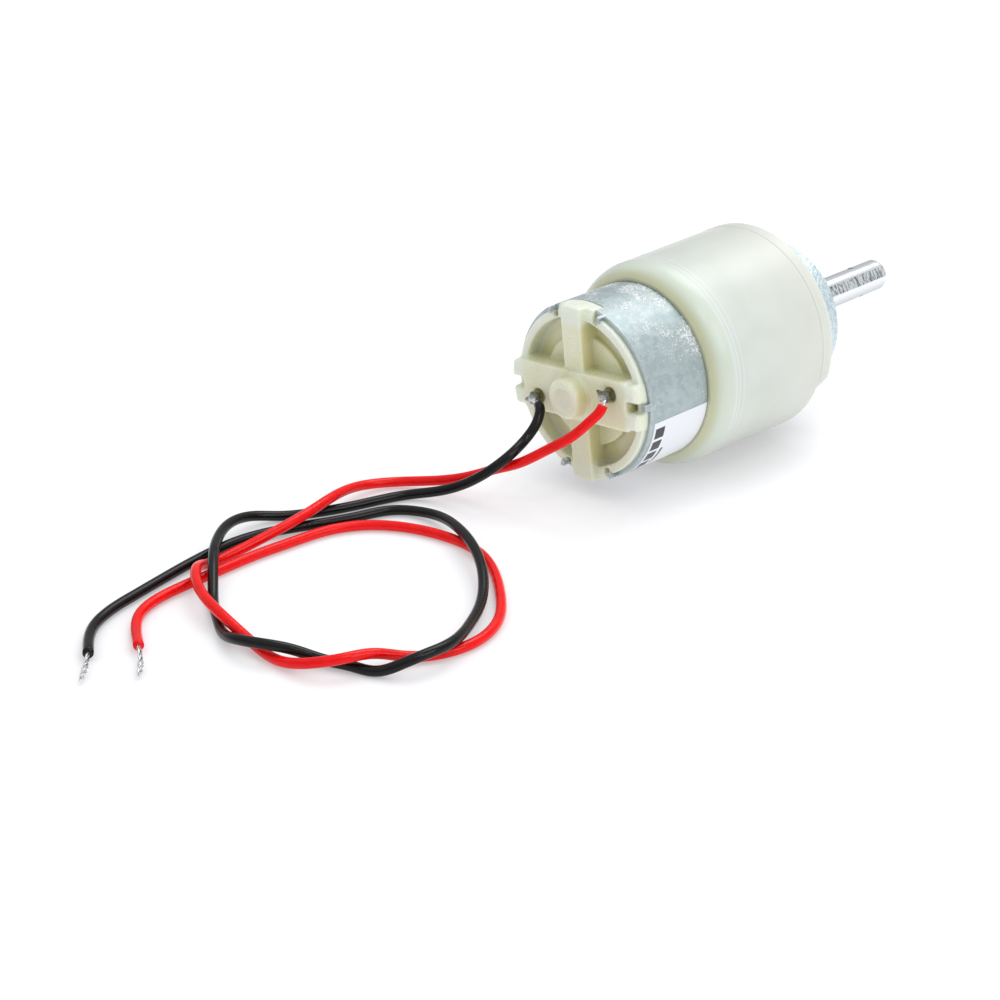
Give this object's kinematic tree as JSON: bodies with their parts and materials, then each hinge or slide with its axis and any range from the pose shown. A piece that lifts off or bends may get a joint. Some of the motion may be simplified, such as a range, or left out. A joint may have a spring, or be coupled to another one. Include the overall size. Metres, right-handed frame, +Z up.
{
  "type": "geared dc motor",
  "caption": "Small brushed dc motor with a round plastic spur gearbox, a metal front boss, a long output shaft with a cross hole and a pair of soft leads.",
  "frame": {"origin": "centre of the front boss's face, on the output shaft's axis", "axes": "+X along the output shaft towards its tip, +Z up as the motor lies on a table, +Y away from the side the leads cross"},
  "size_m": [0.1851, 0.0595, 0.0386],
  "materials": {
    "milky_plastic": "translucent milky moulding",
    "cream_plastic": "natural cream moulding, slightly waxy",
    "zinc": "fine cast texture with a bluish plating",
    "galvanised_steel": "galvanised sheet with fine spangle",
    "plated_steel": "bright plated, ground",
    "bright_steel": "bright",
    "gear_steel": "sintered steel, oiled",
    "gear_nylon": "natural nylon, greased",
    "bronze": "oil-soaked sintered bronze",
    "brass": "machined",
    "copper": "worn copper bars",
    "enamelled_copper": "varnished wire",
    "lamination_steel": "stacked laminations",
    "ferrite": "sintered ferrite",
    "tinned_metal": "tinned",
    "solder": "bright solder",
    "label_paper": "coated paper with plain dark bars",
    "red_pvc": "glossy soft pvc",
    "black_pvc": "glossy soft pvc"
  },
  "bodies": {
    "root": {"gearbox_housing": "milky_plastic", "gearbox_lid": "milky_plastic", "lid_screws": "bright_steel", "front_boss": "zinc", "boss_screws": "bright_steel", "output_bush": "bronze", "motor_can": "galvanised_steel", "motor_screws": "bright_steel", "end_cap": "cream_plastic", "field_magnets": "ferrite", "rear_bush": "bronze", "front_bush": "bronze", "left_terminal": "tinned_metal", "right_terminal": "tinned_metal", "left_brush": "bronze", "right_brush": "bronze", "left_solder": "solder", "right_solder": "solder", "can_label": "label_paper", "red_lead": "red_pvc", "red_strands": "tinned_metal", "black_lead": "black_pvc", "black_strands": "tinned_metal", "first_axle": "bright_steel", "second_axle": "bright_steel", "third_axle": "bright_steel"},
    "output": {"output_shaft": "plated_steel", "output_gear": "gear_steel", "retaining_ring": "bright_steel"},
    "third_stage": {"third_gear": "gear_steel"},
    "second_stage": {"second_gear": "gear_nylon"},
    "first_stage": {"first_gear": "gear_nylon"},
    "rotor": {"rotor_shaft": "bright_steel", "rotor_core": "lamination_steel", "rotor_windings": "enamelled_copper", "commutator": "copper", "motor_pinion": "brass"}
  },
  "joints": [
    {"name": "output_spin", "type": "hinge", "parent": "root", "child": "output", "pos_m": [0, 0, 0], "axis": [1, 0, 0], "continuous": true},
    {"name": "third_stage_spin", "type": "hinge", "parent": "root", "child": "third_stage", "pos_m": [0, 0.00606, -0.00699], "axis": [1, 0, 0], "continuous": true},
    {"name": "second_stage_spin", "type": "hinge", "parent": "root", "child": "second_stage", "pos_m": [0, -0.0033, -0.00864], "axis": [1, 0, 0], "continuous": true},
    {"name": "first_stage_spin", "type": "hinge", "parent": "root", "child": "first_stage", "pos_m": [0, -0.00918, -0.00118], "axis": [1, 0, 0], "continuous": true},
    {"name": "rotor_spin", "type": "hinge", "parent": "root", "child": "rotor", "pos_m": [0, 0, 0], "axis": [1, 0, 0], "continuous": true}
  ],
  "couplings": [
    {"joint": "third_stage_spin", "follows": "output_spin", "ratio": -2.7},
    {"joint": "second_stage_spin", "follows": "output_spin", "ratio": 7.56},
    {"joint": "first_stage_spin", "follows": "output_spin", "ratio": -21.168},
    {"joint": "rotor_spin", "follows": "output_spin", "ratio": 57.154}
  ]
}
